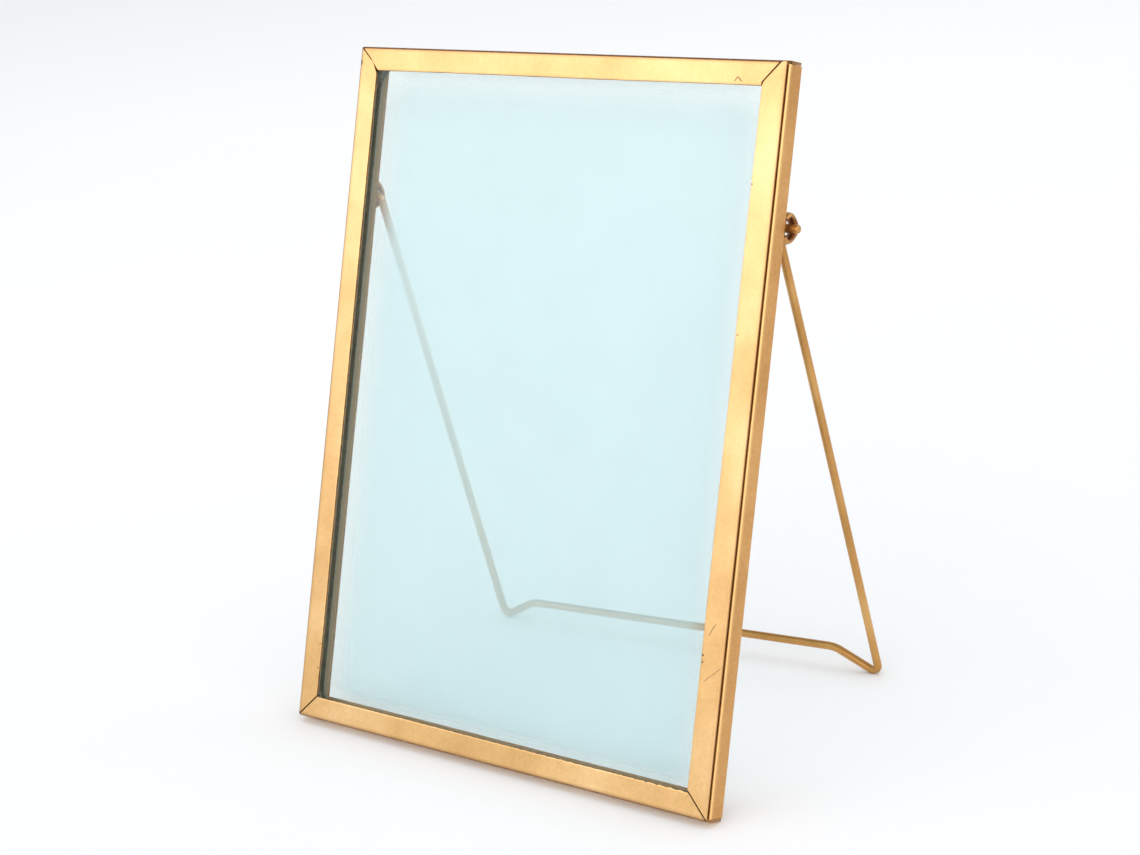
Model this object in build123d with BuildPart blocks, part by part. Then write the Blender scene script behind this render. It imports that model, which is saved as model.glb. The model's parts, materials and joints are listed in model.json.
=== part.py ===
from build123d import *
from math import atan2, cos, degrees, radians, sin, tan
import os

# Table-top floating picture frame, 150 x 200 mm: two glass panes in a rear tray of folded
# sheet, a front cover of folded sheet that fits over the tray on three sides, and an easel
# of one bent wire whose ends turn in two loops soldered to the back.
#
# Row frame: +Z up, the picture faces -Y and leans back, origin at the middle of the
# footprint. Millimetres and degrees.
#
# Frame coordinates, used for every piece of the frame: x across, y up the frame from its
# bottom edge, z forwards from the back face.

# ---- front cover ----
cover_width = 150.0       # outside the folds
cover_height = 200.0      # outside the folds
sheet = 0.8               # thickness of all folded sheet
front_lip = 6.8           # width of the face that borders the picture
fold_radius = 0.7         # outside radius of a fold
mitre_gap = 0.3           # seam between two mitred ends
lip_clearance = 0.4       # front pane to the back of the front lip
tongue_root = 2.4         # the top and bottom walls' tongues start this far inside the corner

# ---- rear tray ----
nest_clearance = 0.35     # between the tray's walls and the cover's walls around them
wall_clearance = 0.7      # front of the tray's three inner walls to the back of the front lip
sight_step = 0.5          # the rear opening is this much wider than the front one, each side
side_gap = 0.55           # open seam between the cover's fold and the exposed side wall
side_recess = 0.5         # the exposed wall's edge stands this far behind the front lip
edge_round = 0.3          # rounding of the exposed wall's front edge
flange_clearance = 0.4    # end of the cover's right flange above the rear lip

# ---- glass ----
glass_thickness = 2.0
glass_side_play = 2.55    # pane to tray wall, each side
glass_top_play = 2.5      # pane to the top wall, as it stands on the bottom one
glass_seat = 0.1          # hairline between a pane and what it lies on
glass_corner = 8.0        # radius of a pane's corners
glass_arris = 0.2         # ground edge of a pane

# ---- hinge loops ----
hinge_height = 157.2      # up the back, from the bottom edge to the pin's axis
hinge_setback = 2.8       # pin's axis behind the back face
ring_wire = 1.7
ring_bore = 5.2
solder_length = 8.6
solder_margin = 0.3       # solder beside the loop's wire
solder_thickness = 0.6

# ---- easel ----
lean = 20.0               # of the picture, back from upright
stand_angle = 12.0        # of the legs, forwards from the feet to the hinge, off upright
stand_twist = 2.2         # hand-bent set: right leg this much wider, left leg this much less
stand_offset = 0.7        # middle of the easel, right of the frame's middle
wire = 2.4
leg_play = 0.35           # left leg to its loop
pin_proud = 2.4           # right pin's end past the side face
toe_in = 4.1              # each foot is nearer the middle than its pin corner
foot_run = 13.8           # foot to cross bar, sideways
foot_rise = 7.5           # foot to cross bar, up the leg
pin_bend = 2.4            # bend radii, to the wire's centre
foot_bend = 2.2
bar_bend = 8.0
wire_end_round = 0.5

# ---- values that follow ----
frame_depth = 2 * sheet + 2 * (glass_thickness + glass_seat) + lip_clearance
inner_wall = frame_depth - sheet - wall_clearance
side_step = side_gap + sheet
half_width = cover_width / 2
tray_left = half_width - sheet - nest_clearance
tray_right = half_width + side_step
tray_foot = sheet + nest_clearance
tray_head = cover_height - tray_foot
opening_half = half_width - front_lip + sight_step
opening_foot = front_lip - sight_step
opening_head = cover_height - opening_foot
ring_radius = (ring_bore + ring_wire) / 2
ring_left_x = ring_wire / 2 + solder_margin - tray_left
ring_right_x = tray_right - solder_margin - ring_wire / 2

# Easel, across from its own middle.
leg_top_x = -ring_left_x - ring_wire / 2 - leg_play - wire / 2 + stand_offset
pin_end_x = tray_right + pin_proud - stand_offset
foot_x = leg_top_x - toe_in
bar_end_x = foot_x - foot_run

# Side view, back from the resting edge and up from the table.
lean_angle = radians(lean)
hinge_back = hinge_height * sin(lean_angle) + hinge_setback * cos(lean_angle)
hinge_up = hinge_height * cos(lean_angle) - hinge_setback * sin(lean_angle)
leg_drop = hinge_up - wire / 2
front_reach = (frame_depth - fold_radius) * cos(lean_angle) + fold_radius * (1 - sin(lean_angle))
foot_reach = hinge_back + leg_drop * tan(radians(stand_angle + stand_twist)) + wire / 2
rest_y = (front_reach - foot_reach) / 2

# The frame's back face, x across, y up, z forwards, and the same plane by depth.
back = Plane(
    origin=(-stand_offset, rest_y, 0),
    x_dir=(1, 0, 0),
    z_dir=(0, -cos(lean_angle), sin(lean_angle)),
)
hinge = Vector(0, rest_y + hinge_back, hinge_up)

TOP, RIGHT, BOTTOM, LEFT = range(4)
run_direction = {TOP: back.x_dir, RIGHT: back.y_dir, BOTTOM: back.x_dir, LEFT: back.y_dir}
out_direction = {TOP: back.y_dir, RIGHT: back.x_dir, BOTTOM: -back.y_dir, LEFT: -back.x_dir}


def corners(left, right, foot, head):
    """Corners of a rectangle in frame coordinates, clockwise from the top left."""
    return [(left, head), (right, head), (right, foot), (left, foot)]


def border(outer, inner, side):
    """Sketch one side of a mitred border between two rectangles."""
    after = (side + 1) % 4
    Polygon(outer[side], outer[after], inner[after], inner[side], align=None)


def edge_band(outer, inner, wall, side):
    """Sketch the part of one side that lies outside the rectangle of the walls' inner faces."""
    border(outer, inner, side)
    Polygon(*wall, align=None, mode=Mode.SUBTRACT)


def mitre(outer, inner, corner, width, past):
    """Sketch a strip along a mitre, from its inner corner to its outer one."""
    start = Vector(*inner[corner])
    run = Vector(*outer[corner]) - start
    with Locations(start + run / 2):
        Rectangle(run.length + 2 * past, width, rotation=degrees(atan2(run.Y, run.X)))


def fold_edge(part, side, facing):
    """The long outer edge of one side, towards facing."""
    along = part.edges().filter_by(Axis(back.origin, run_direction[side]))
    return along.sort_by(Axis(back.origin, out_direction[side] + facing))[-1]


def finish(part, name):
    """Label a piece and write it under its own name."""
    part.label = name
    export_step(part, f"parts/{name}.step")
    return part


cover_outer = corners(-half_width, half_width, 0, cover_height)
cover_inner = corners(
    front_lip - half_width, half_width - front_lip, front_lip, cover_height - front_lip
)
cover_wall = corners(sheet - half_width, half_width - sheet, sheet, cover_height - sheet)
tray_outer = corners(-tray_left, tray_right, tray_foot, tray_head)
tray_inner = corners(-opening_half, opening_half, opening_foot, opening_head)
tray_wall = corners(sheet - tray_left, tray_right - sheet, tray_foot + sheet, tray_head - sheet)

os.makedirs("parts", exist_ok=True)


# ---- front cover: four folded rails ----
def cover_rail(side):
    """Front lip with mitred ends, and a wall folded back from its outer edge."""
    with BuildPart() as rail:
        with BuildSketch(back.offset(frame_depth - sheet)):
            border(cover_outer, cover_inner, side)
        extrude(amount=sheet)
        if side == RIGHT:
            # A short flange that stands inside the exposed side wall.
            flange_foot = tray_foot + sheet + nest_clearance
            flange_head = tray_head - sheet - nest_clearance
            with BuildSketch(back.offset(sheet + flange_clearance)):
                with Locations((half_width - sheet / 2, cover_height / 2)):
                    Rectangle(sheet, flange_head - flange_foot)
            extrude(amount=frame_depth - sheet - flange_clearance)
        else:
            with BuildSketch(back):
                edge_band(cover_outer, cover_inner, cover_wall, side)
            extrude(amount=frame_depth)
        with BuildSketch(back):
            for corner in range(4):
                mitre(cover_outer, cover_inner, corner, mitre_gap, sheet)
        extrude(amount=frame_depth, mode=Mode.SUBTRACT)
        fillet(fold_edge(rail, side, back.z_dir), fold_radius)
        if side in (TOP, BOTTOM):
            # The wall carries on over the end of the exposed side wall.
            middle_y = cover_height - sheet / 2 if side == TOP else sheet / 2
            tongue_start = half_width - tongue_root
            with BuildSketch(back):
                with Locations(((tongue_start + tray_right) / 2, middle_y)):
                    Rectangle(tray_right - tongue_start, sheet)
            extrude(amount=frame_depth - sheet - mitre_gap)
            with BuildSketch(back):
                with Locations(((half_width + mitre_gap + tray_right) / 2, middle_y)):
                    Rectangle(side_step - mitre_gap, sheet)
            extrude(amount=frame_depth - side_recess)
    return rail.part


cover_top_rail = finish(cover_rail(TOP), "cover_top_rail")
cover_right_stile = finish(cover_rail(RIGHT), "cover_right_stile")
cover_bottom_rail = finish(cover_rail(BOTTOM), "cover_bottom_rail")
cover_left_stile = finish(cover_rail(LEFT), "cover_left_stile")

# Solder run into the four front mitres from behind, half the sheet deep.
with BuildPart() as cover_corner_solder:
    with BuildSketch(back.offset(frame_depth - sheet)):
        for corner in range(4):
            mitre(cover_outer, cover_inner, corner, mitre_gap, -sheet)
    extrude(amount=sheet / 2)
finish(cover_corner_solder.part, "cover_corner_solder")


# ---- rear tray: four folded rails ----
def tray_rail(side):
    """Rear lip with mitred ends, and a wall folded forwards from its outer edge."""
    with BuildPart() as rail:
        with BuildSketch(back):
            border(tray_outer, tray_inner, side)
        extrude(amount=sheet)
        with BuildSketch(back):
            edge_band(tray_outer, tray_inner, tray_wall, side)
        extrude(amount=frame_depth - side_recess if side == RIGHT else inner_wall)
        with BuildSketch(back):
            for corner in range(4):
                mitre(tray_outer, tray_inner, corner, mitre_gap, sheet)
        extrude(amount=frame_depth, mode=Mode.SUBTRACT)
        fillet(fold_edge(rail, side, -back.z_dir), fold_radius)
        if side == RIGHT:
            front_face = rail.faces().sort_by(Axis(back.origin, back.z_dir))[-1]
            along = front_face.edges().filter_by(Axis(back.origin, back.y_dir))
            fillet(along, edge_round)
    return rail.part


tray_top_rail = finish(tray_rail(TOP), "tray_top_rail")
tray_right_stile = finish(tray_rail(RIGHT), "tray_right_stile")
tray_bottom_rail = finish(tray_rail(BOTTOM), "tray_bottom_rail")
tray_left_stile = finish(tray_rail(LEFT), "tray_left_stile")

# Solder that fills the four rear mitres.
with BuildPart() as tray_corner_solder:
    with BuildSketch(back):
        for corner in range(4):
            mitre(tray_outer, tray_inner, corner, mitre_gap, -sheet)
    extrude(amount=sheet)
finish(tray_corner_solder.part, "tray_corner_solder")

# ---- glass: two panes that stand on the tray's bottom wall ----
glass_foot = tray_foot + sheet + glass_seat
glass_head = tray_head - sheet - glass_top_play
glass_width = 2 * (tray_left - sheet - glass_side_play)


def pane(depth):
    """A pane with rounded corners and ground edges, its back at depth."""
    with BuildPart() as glass:
        with BuildSketch(back.offset(depth)):
            with Locations((0, (glass_foot + glass_head) / 2)):
                RectangleRounded(glass_width, glass_head - glass_foot, glass_corner)
        extrude(amount=glass_thickness)
        flat = glass.faces().sort_by(Axis(back.origin, back.z_dir))
        chamfer(flat[0].edges() + flat[-1].edges(), glass_arris)
    return glass.part


rear_glass_depth = sheet + glass_seat
front_glass_depth = rear_glass_depth + glass_thickness + glass_seat
rear_glass = finish(pane(rear_glass_depth), "rear_glass")
front_glass = finish(pane(front_glass_depth), "front_glass")


# ---- hinge loops, ground flat where they are soldered to the back face ----
def hinge_ring(across):
    """Wire loop around the pin's axis, cut off at the back face."""
    centre = back.from_local_coords((across, hinge_height, -hinge_setback))
    with BuildPart() as ring:
        with BuildSketch(Plane(origin=centre, x_dir=(0, 0, 1), z_dir=(0, 1, 0))):
            with Locations((ring_radius, 0)):
                Circle(ring_wire / 2)
        revolve(axis=Axis(centre, (1, 0, 0)))
        split(bisect_by=back, keep=Keep.BOTTOM)
    return ring.part


def ring_solder(across, ring):
    """Pad of solder on the back face, around the loop's flat."""
    with BuildPart() as pad:
        with BuildSketch(back):
            with Locations((across, hinge_height)):
                SlotOverall(solder_length, ring_wire + 2 * solder_margin, rotation=90)
        extrude(amount=-solder_thickness)
        add(ring, mode=Mode.SUBTRACT)
    return pad.part


hinge_ring_left = finish(hinge_ring(ring_left_x), "hinge_ring_left")
hinge_ring_right = finish(hinge_ring(ring_right_x), "hinge_ring_right")
finish(ring_solder(ring_left_x, hinge_ring_left), "ring_solder_left")
finish(ring_solder(ring_right_x, hinge_ring_right), "ring_solder_right")


# ---- easel: one bent wire ----
def leg_points(hand):
    """Pin end, pin corner, foot and end of the bar on one side: hand is 1 right, -1 left.

    The foot's corner lies below the table by as much as its bend cuts the corner off, so
    that the wire itself just touches the table.
    """
    angle = radians(stand_angle + hand * stand_twist)
    straight = leg_drop / cos(angle)
    leg_slope = radians(90) + atan2(toe_in, straight)
    riser_slope = atan2(foot_rise, foot_run)
    half_turn = (leg_slope - riser_slope) / 2
    bisector = (leg_slope + riser_slope) / 2
    length = straight + foot_bend * (sin(bisector) / sin(half_turn) - 1)
    down = Vector(0, sin(angle), -cos(angle))
    foot = Vector(hand * foot_x, hinge.Y, hinge.Z) + down * length
    bar_end = Vector(hand * bar_end_x, foot.Y, foot.Z) - down * foot_rise
    pin_corner = Vector(hand * leg_top_x, hinge.Y, hinge.Z)
    pin_end = Vector(hand * pin_end_x, hinge.Y, hinge.Z)
    return [pin_end, pin_corner, foot, bar_end]


route = leg_points(1) + leg_points(-1)[::-1]
bends = [pin_bend, foot_bend, bar_bend, bar_bend, foot_bend, pin_bend]

with BuildPart() as stand_wire:
    with BuildLine():
        FilletPolyline(*route, radius=bends)
    with BuildSketch(Plane(origin=route[0], z_dir=(-1, 0, 0))):
        Circle(wire / 2)
    sweep()
    ends = stand_wire.faces().filter_by(GeomType.PLANE).sort_by(Axis.X)
    fillet(ends[0].edges() + ends[-1].edges(), wire_end_round)
finish(stand_wire.part, "stand_wire")
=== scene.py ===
"""Table-top floating picture frame: folded gold sheet, two panes and an easel of bent wire.

Everything is in metres, in the same frame as the CAD nodes. The picture frame's own
coordinates are x across from its middle, y up from its bottom edge and z forwards from its
back face; FrameAxes turns them into the row's.
"""
import json
import logging
from dataclasses import dataclass, field
from enum import Enum
from math import atan2, cos, pi, radians, sin

import bpy
import numpy as np
from mathutils import Matrix, Vector


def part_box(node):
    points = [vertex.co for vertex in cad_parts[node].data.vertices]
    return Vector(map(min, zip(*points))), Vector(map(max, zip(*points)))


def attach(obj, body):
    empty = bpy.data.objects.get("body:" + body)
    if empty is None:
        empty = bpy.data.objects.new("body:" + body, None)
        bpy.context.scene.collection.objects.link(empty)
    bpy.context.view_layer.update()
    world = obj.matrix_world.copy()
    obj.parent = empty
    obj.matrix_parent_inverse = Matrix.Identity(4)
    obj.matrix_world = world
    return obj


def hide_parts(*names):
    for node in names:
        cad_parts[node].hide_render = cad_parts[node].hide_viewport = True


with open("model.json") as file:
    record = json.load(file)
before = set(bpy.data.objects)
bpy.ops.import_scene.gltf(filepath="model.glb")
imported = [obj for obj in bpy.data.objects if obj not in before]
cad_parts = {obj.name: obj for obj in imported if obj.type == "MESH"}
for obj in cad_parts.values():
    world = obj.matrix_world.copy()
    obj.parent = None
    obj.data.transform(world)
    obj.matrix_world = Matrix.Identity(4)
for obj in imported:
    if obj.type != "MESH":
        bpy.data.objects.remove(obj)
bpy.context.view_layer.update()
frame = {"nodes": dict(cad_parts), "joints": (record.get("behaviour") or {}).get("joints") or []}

Socket = bpy.types.NodeSocket
Material = bpy.types.Material
log = logging.getLogger("floating_frame")
MM = 0.001

# Scales of the finishes' noises, in waves per metre.
FLAKE = 2600.0     # metal flake in the paint
MOTTLE = 900.0     # small blotches, and grinding marks in the glass
PEEL = 950.0       # orange peel
RAGGED = 1500.0    # outlines of chips
CLOUD = 45.0       # slow change of tone along a rail


class Side(Enum):
    """The four sides of a border, as rails run."""

    TOP = "top"
    RIGHT = "right"
    BOTTOM = "bottom"
    LEFT = "left"


class Slot(Enum):
    """Material slots of the record."""

    COVER = "gold_cover"
    TRAY = "gold_tray"
    WIRE = "gold_wire"
    SOLDER = "solder"
    GLASS = "clear_glass"


class Body(Enum):
    """Bodies that pieces ride on."""

    TRAY = "rear_tray"
    COVER = "front_cover"
    STAND = "stand"


def joint(name: str) -> dict:
    """One joint of the frame, by its name."""
    return next(j for j in frame["joints"] if j["name"] == name)


def add_object(name: str, data: bpy.types.ID) -> bpy.types.Object:
    """Put data into the scene as an object at the origin."""
    added = bpy.data.objects.new(name, data)
    bpy.context.scene.collection.objects.link(added)
    return added


# ---------------------------------------------------------------- frame coordinates
@dataclass(frozen=True)
class FrameAxes:
    """The picture frame's own axes, measured from the CAD nodes."""

    origin: np.ndarray
    across: np.ndarray
    up: np.ndarray
    forward: np.ndarray

    @classmethod
    def measured(cls) -> "FrameAxes":
        """Take forwards from the cover's slide and the origin from the rails."""
        forward = np.array(joint("cover_lift")["axis"], float)
        forward /= np.linalg.norm(forward)
        across = np.array([1.0, 0.0, 0.0])
        up = np.cross(forward, across)
        plain = cls(np.zeros(3), across, up, forward)
        left, right = plain.extent("cover_left_stile")[0], plain.extent("cover_right_stile")[1]
        foot = plain.extent("cover_bottom_rail")[0]
        rear = plain.extent("tray_left_stile")[0]
        origin = across * (left[0] + right[0]) / 2 + up * foot[1] + forward * rear[2]
        return cls(origin, across, up, forward)

    @property
    def turn(self) -> np.ndarray:
        """The three axes as the rows of a matrix."""
        return np.stack([self.across, self.up, self.forward])

    @property
    def lean(self) -> float:
        """Angle of the frame back from upright."""
        return atan2(self.up[1], self.up[2])

    def extent(self, node: str) -> tuple[np.ndarray, np.ndarray]:
        """Lowest and highest corner of a CAD node in frame coordinates.

        Args:
            node: Name of the CAD node.

        Returns:
            Two corners, as (x, y, z).
        """
        mesh = frame["nodes"][node].data
        co = np.empty(len(mesh.vertices) * 3, np.float32)
        mesh.vertices.foreach_get("co", co)
        own = self.from_row(co.reshape(-1, 3))
        return own.min(0), own.max(0)

    def to_row(self, points: np.ndarray) -> np.ndarray:
        """Turn points (..., 3) from frame coordinates into the row's."""
        return self.origin + points @ self.turn

    def from_row(self, points: np.ndarray) -> np.ndarray:
        """Turn points (..., 3) from the row's coordinates into the frame's."""
        return (points - self.origin) @ self.turn.T


# ---------------------------------------------------------------- meshes
def ring_faces(rings: int, around: int) -> np.ndarray:
    """Quads between rings of a grid whose vertex number is ring * around + place."""
    ring = np.arange(rings - 1)[:, None]
    place = np.arange(around)[None, :]
    after = (place + 1) % around
    low, high = ring * around, (ring + 1) * around
    return np.stack([low + place, low + after, high + after, high + place], -1).reshape(-1, 4)


def end_caps(rings: int, around: int) -> list[list[int]]:
    """Faces that close the first and the last ring of a grid."""
    first, last = range(around), range((rings - 1) * around, rings * around)
    return [list(first)[::-1], list(last)]


def signed_volume(points: np.ndarray, faces: list[list[int]]) -> float:
    """Sum of a fan of tetrahedra from the origin; negative when faces point inwards."""
    fans = [(f[0], f[i], f[i + 1]) for f in faces for i in range(1, len(f) - 1)]
    a, b, c = (points[np.array(fans)[:, k]] for k in range(3))
    return float(np.einsum("ij,ij->i", a, np.cross(b, c)).sum())


def make_piece(
    name: str,
    points: np.ndarray,
    faces: list[list[int]],
    body: Body,
    nodes: tuple[str, ...],
    materials: list[Material],
    material_index: np.ndarray | None = None,
    tone: np.ndarray | None = None,
    sharp: float = 40.0,
) -> bpy.types.Object:
    """Put a surface into a mesh object that rides on a body and stands for CAD nodes.

    Args:
        name: Name of the object.
        points: Vertices in the row's coordinates.
        faces: Vertex numbers of each face.
        body: Body that the piece rides on.
        nodes: CAD nodes that it stands for.
        materials: Materials, in slot order.
        material_index: Slot of each face; all the first one if left out.
        tone: Share of painted shade at each vertex, or of painted highlight where it is
        negative, kept as the attribute edge_tone. On a pane it marks the bevels, for the pale
        arris.
        sharp: Edges that turn more than this many degrees are not smoothed.

    Returns:
        The new object.
    """
    mesh = bpy.data.meshes.new(name)
    centred = points - points.mean(0)
    if signed_volume(centred, faces) < 0:
        faces = [face[::-1] for face in faces]
    mesh.from_pydata(points.tolist(), [], faces)
    mesh.validate()
    mesh.polygons.foreach_set("use_smooth", np.ones(len(mesh.polygons), bool))
    mesh.set_sharp_from_angle(angle=radians(sharp))
    for material in materials:
        mesh.materials.append(material)
    if material_index is not None:
        mesh.polygons.foreach_set("material_index", material_index.astype(np.int32))
    if tone is not None:
        mesh.attributes.new("edge_tone", "FLOAT", "POINT").data.foreach_set("value", tone)
    mesh.update()
    piece = add_object(name, mesh)
    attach(piece, body.value)
    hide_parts(*nodes)
    log.info("%s: %d vertices, %d faces, on %s", name, len(points), len(faces), body.value)
    return piece


def swell(distance: np.ndarray, *waves: tuple[float, float, float]) -> np.ndarray:
    """Sum of sines along a distance: each wave is (height, length, phase)."""
    return sum(h * np.sin(2 * pi * distance / length + phase) for h, length, phase in waves)


# ---------------------------------------------------------------- materials
class Graph:
    """A material's node tree, wired by short calls."""

    def __init__(self, name: str) -> None:
        """Make an empty material with an output."""
        self.material = bpy.data.materials.new(name)
        self.material.use_nodes = True
        self.tree = self.material.node_tree
        self.tree.nodes.clear()
        self.output = self.tree.nodes.new("ShaderNodeOutputMaterial")

    def add(self, kind: str, inputs: dict | None = None, **settings: object) -> bpy.types.Node:
        """Add a node.

        Args:
            kind: Type name without its ShaderNode prefix.
            inputs: Value or output socket for each input, by name or number.
            settings: Attributes of the node.

        Returns:
            The node.
        """
        node = self.tree.nodes.new("ShaderNode" + kind)
        for key, value in settings.items():
            setattr(node, key, value)
        for key, value in (inputs or {}).items():
            if isinstance(value, Socket):
                self.tree.links.new(value, node.inputs[key])
            else:
                node.inputs[key].default_value = value
        return node

    def math(self, operation: str, *values: object, clamp: bool = False) -> Socket:
        """Result of a Math node on numbers or sockets."""
        node = self.add("Math", dict(enumerate(values)), operation=operation, use_clamp=clamp)
        return node.outputs[0]

    def frame_coordinates(self, axes: FrameAxes) -> Socket:
        """Object coordinates turned and centred into the picture frame's own."""
        source = self.add("TexCoord").outputs["Object"]
        turn = axes.lean - pi / 2
        own = Matrix([axes.across, axes.up, axes.forward]) @ Vector(axes.origin)
        return self.add(
            "Mapping",
            {"Vector": source, "Rotation": (turn, 0.0, 0.0), "Location": tuple(-own)},
        ).outputs["Vector"]

    def noise(
        self, vector: Socket, scale: float, detail: float = 2.0, rough: float = 0.5
    ) -> Socket:
        """Value of a noise of the given scale, about 0 to 1."""
        inputs = {"Vector": vector, "Scale": scale, "Detail": detail, "Roughness": rough}
        return self.add("TexNoise", inputs).outputs["Fac"]

    def ramp(self, value: Socket, *stops: tuple[float, tuple]) -> Socket:
        """Colour ramp from stops of (place, colour)."""
        node = self.add("ValToRGB", {"Fac": value})
        elements = node.color_ramp.elements
        while len(elements) < len(stops):
            elements.new(0.5)
        for element, (place, colour) in zip(elements, stops):
            element.position = place
            element.color = (*colour, 1.0)
        return node.outputs["Color"]

    def step(
        self, value: Socket, low: float, high: float, to_low: float, to_high: float
    ) -> Socket:
        """Smooth step of a value from one range into another."""
        inputs = {"Value": value, 1: low, 2: high, 3: to_low, 4: to_high}
        node = self.add("MapRange", inputs, interpolation_type="SMOOTHSTEP")
        return node.outputs["Result"]

    def mix(self, factor: object, a: object, b: object) -> Socket:
        """Colour mix of a and b."""
        node = self.add("Mix", {0: factor}, data_type="RGBA")
        for key, value in ((6, a), (7, b)):
            if isinstance(value, Socket):
                self.tree.links.new(value, node.inputs[key])
            else:
                node.inputs[key].default_value = (*value, 1.0)
        return node.outputs[2]

    def finish(self, shader: bpy.types.Node) -> Material:
        """Wire a shader to the output and hand over the material."""
        self.tree.links.new(shader.outputs[0], self.output.inputs["Surface"])
        return self.material


@dataclass(frozen=True)
class Chip:
    """A spot where the paint is gone, in frame coordinates in mm."""

    x: float
    y: float
    radius: float


@dataclass(frozen=True)
class Scratch:
    """A fine line through the paint, in frame coordinates in mm, bowed by bow."""

    x: float
    y: float
    length: float
    angle: float
    width: float = 0.12
    bow: float = 0.0


@dataclass(frozen=True)
class GoldPaint:
    """Satin gold paint over steel: metallic flake, speckle, orange peel, worn spots, and painted
    shade and painted highlights from edge_tone.

    Its roughness rises by roughness_swing over the mottle. A wide swing would show as dark
    specks where a lip mirrors the low, dim part of the room.
    """

    name: str
    body: tuple[float, float, float]
    deep: tuple[float, float, float]
    bright: tuple[float, float, float]
    roughness: float = 0.29
    roughness_swing: float = 0.03
    metallic: float = 0.85
    coat: float = 0.5
    coat_roughness: float = 0.20
    speckle: float = 0.35
    pits: float = 0.2
    peel: float = 0.030
    chips: tuple[Chip, ...] = ()
    scratches: tuple[Scratch, ...] = ()
    bare: tuple[float, float, float] = (0.030, 0.020, 0.012)
    # Colours of the painted shade in folds and inside the loops, and of the painted highlight on
    # the tray's right wall.
    painted_shade: tuple[float, float, float] = (0.24, 0.090, 0.022)
    painted_highlight: tuple[float, float, float] = (0.95, 0.62, 0.26)

    def build(self, axes: FrameAxes) -> Material:
        """Wire the paint.

        Args:
            axes: The picture frame's axes, in which the worn spots are placed.

        Returns:
            The material.
        """
        g = Graph(self.name)
        place = g.frame_coordinates(axes)
        flake = g.noise(place, FLAKE, 2.0, 0.6)
        mottle = g.noise(place, MOTTLE, 3.0, 0.6)
        cloud = g.noise(place, CLOUD, 2.0)
        tone = g.ramp(cloud, (0.30, self.deep), (0.52, self.body), (0.75, self.bright))
        spot = g.ramp(mottle, (0.30, self.deep), (0.50, self.body), (0.70, self.bright))
        colour = g.mix(self.speckle, tone, spot)
        glint = g.step(flake, 0.60, 0.75, 0.0, 0.40)
        colour = g.mix(glint, colour, self.bright)
        pit = g.step(flake, 0.24, 0.34, self.pits, 0.0)
        colour = g.mix(pit, colour, self.deep)
        # edge_tone paints light and shade: a painted highlight where it is negative, painted shade
        # where it is positive.
        edge = g.add("Attribute", attribute_name="edge_tone").outputs["Fac"]
        painted_highlight = g.math("MULTIPLY", edge, -1.0, clamp=True)
        colour = g.mix(painted_highlight, colour, self.painted_highlight)
        edge = g.math("MULTIPLY", edge, g.step(mottle, 0.25, 0.6, 0.75, 1.0), clamp=True)
        colour = g.mix(edge, colour, self.painted_shade)
        worn = self.worn_mask(g, place, axes.extent("cover_left_stile")[1][2])
        bare_metal = g.ramp(mottle, (0.3, self.bare), (0.7, tuple(3 * c for c in self.bare)))
        colour = g.mix(worn, colour, bare_metal)
        matt = self.roughness + self.roughness_swing
        rough = g.step(mottle, 0.25, 0.75, self.roughness, matt)
        rough = g.math("MULTIPLY_ADD", worn, 0.3, rough)
        peel = g.noise(place, PEEL, 2.0, 0.55)
        relief = g.math("MULTIPLY_ADD", flake, 0.06, peel)
        relief = g.math("MULTIPLY_ADD", worn, -0.9, relief)
        bump = g.add("Bump", {"Strength": 0.55, "Distance": self.peel * MM, "Height": relief})
        shader = g.add("BsdfPrincipled", {
            "Base Color": colour,
            "Metallic": self.metallic,
            "Roughness": rough,
            "Coat Weight": self.coat,
            "Coat Roughness": self.coat_roughness,
            "Normal": bump.outputs["Normal"],
        })
        return g.finish(shader)

    def worn_mask(
        self, g: Graph, place: Socket, face: float
    ) -> Socket:
        """Mask of chips and scratches at the front face: 1 where the paint is gone.

        Args:
            g: Node tree to wire it in.
            place: Frame coordinates.
            face: Depth of the front face.

        Returns:
            The mask.
        """
        split = g.add("SeparateXYZ", {0: place})
        x, y = split.outputs[0], split.outputs[1]
        front = g.step(split.outputs[2], face - 0.6 * MM, face - 0.3 * MM, 0.0, 1.0)
        ragged = g.noise(place, RAGGED, 2.0, 0.6)
        worn: object = 0.0
        for chip in self.chips:
            spot = {0: place, 1: (chip.x * MM, chip.y * MM, face)}
            far = g.add("VectorMath", spot, operation="DISTANCE").outputs["Value"]
            edge = g.math("MULTIPLY_ADD", ragged, chip.radius * MM, far)
            mask = g.step(edge, chip.radius * 1.1 * MM, chip.radius * 1.5 * MM, 1.0, 0.0)
            worn = g.math("MAXIMUM", worn, mask)
        for line in self.scratches:
            c, s = cos(radians(line.angle)), sin(radians(line.angle))
            dx = g.math("SUBTRACT", x, line.x * MM)
            dy = g.math("SUBTRACT", y, line.y * MM)
            along = g.math("MULTIPLY_ADD", dx, c, g.math("MULTIPLY", dy, s))
            off = g.math("MULTIPLY_ADD", dx, -s, g.math("MULTIPLY", dy, c))
            sag = g.math("MULTIPLY", g.math("MULTIPLY", along, along), line.bow / MM)
            off = g.math("ABSOLUTE", g.math("SUBTRACT", off, sag))
            across = g.step(off, 0.3 * line.width * MM, line.width * MM, 0.8, 0.0)
            half = line.length * MM / 2
            ends = g.step(g.math("ABSOLUTE", along), 0.7 * half, half, 1.0, 0.0)
            line_mask = g.math("MULTIPLY", front, g.math("MULTIPLY", across, ends))
            worn = g.math("MAXIMUM", worn, line_mask)
        return g.math("MINIMUM", worn, 1.0)


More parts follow.
